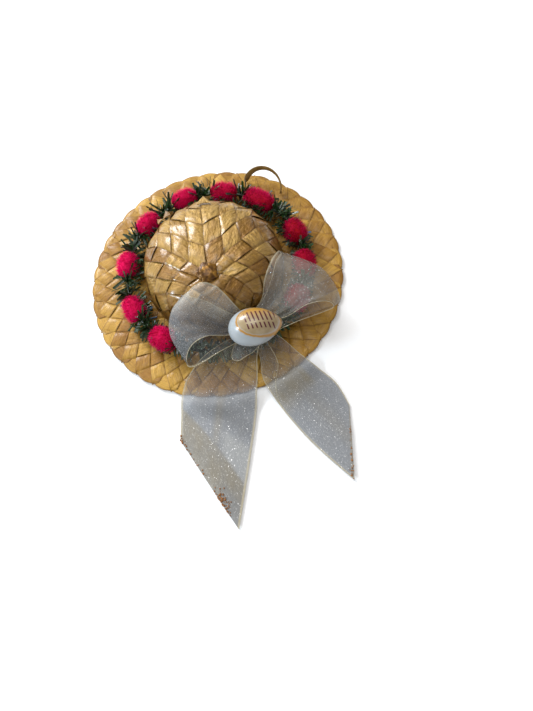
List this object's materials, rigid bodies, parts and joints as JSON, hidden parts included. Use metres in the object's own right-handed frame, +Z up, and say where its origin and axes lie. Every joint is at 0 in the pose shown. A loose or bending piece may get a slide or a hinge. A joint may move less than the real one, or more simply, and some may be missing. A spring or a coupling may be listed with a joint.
{
  "type": "hat ornament",
  "caption": "Small plaited straw hat lying on its brim, with a garland of tufts round the crown, a sheer ribbon bow, a cowrie shell on its knot and a straw loop for hanging.",
  "frame": {"origin": "middle of the footprint, on the plane that the brim rests on", "axes": "+Z up out of the crown, -Y to the front where the bow's tails lie, +X to the right seen from the front"},
  "size_m": [0.0996, 0.1452, 0.0243],
  "materials": {
    "straw": "glossy dried leaf",
    "greenery": "satin",
    "chenille": "fuzzy",
    "organza": "sheer with sparkle",
    "shell": "polished",
    "loop_straw": "glossy dried leaf"
  },
  "bodies": {
    "root": {"woven_hat": "straw", "garland_greenery": "greenery", "tuft_01": "chenille", "tuft_02": "chenille", "tuft_03": "chenille", "tuft_04": "chenille", "tuft_05": "chenille", "tuft_06": "chenille", "tuft_07": "chenille", "tuft_08": "chenille", "tuft_09": "chenille", "tuft_10": "chenille", "ribbon_bow": "organza", "cowrie_shell": "shell", "hanging_loop": "loop_straw"}
  },
  "joints": []
}
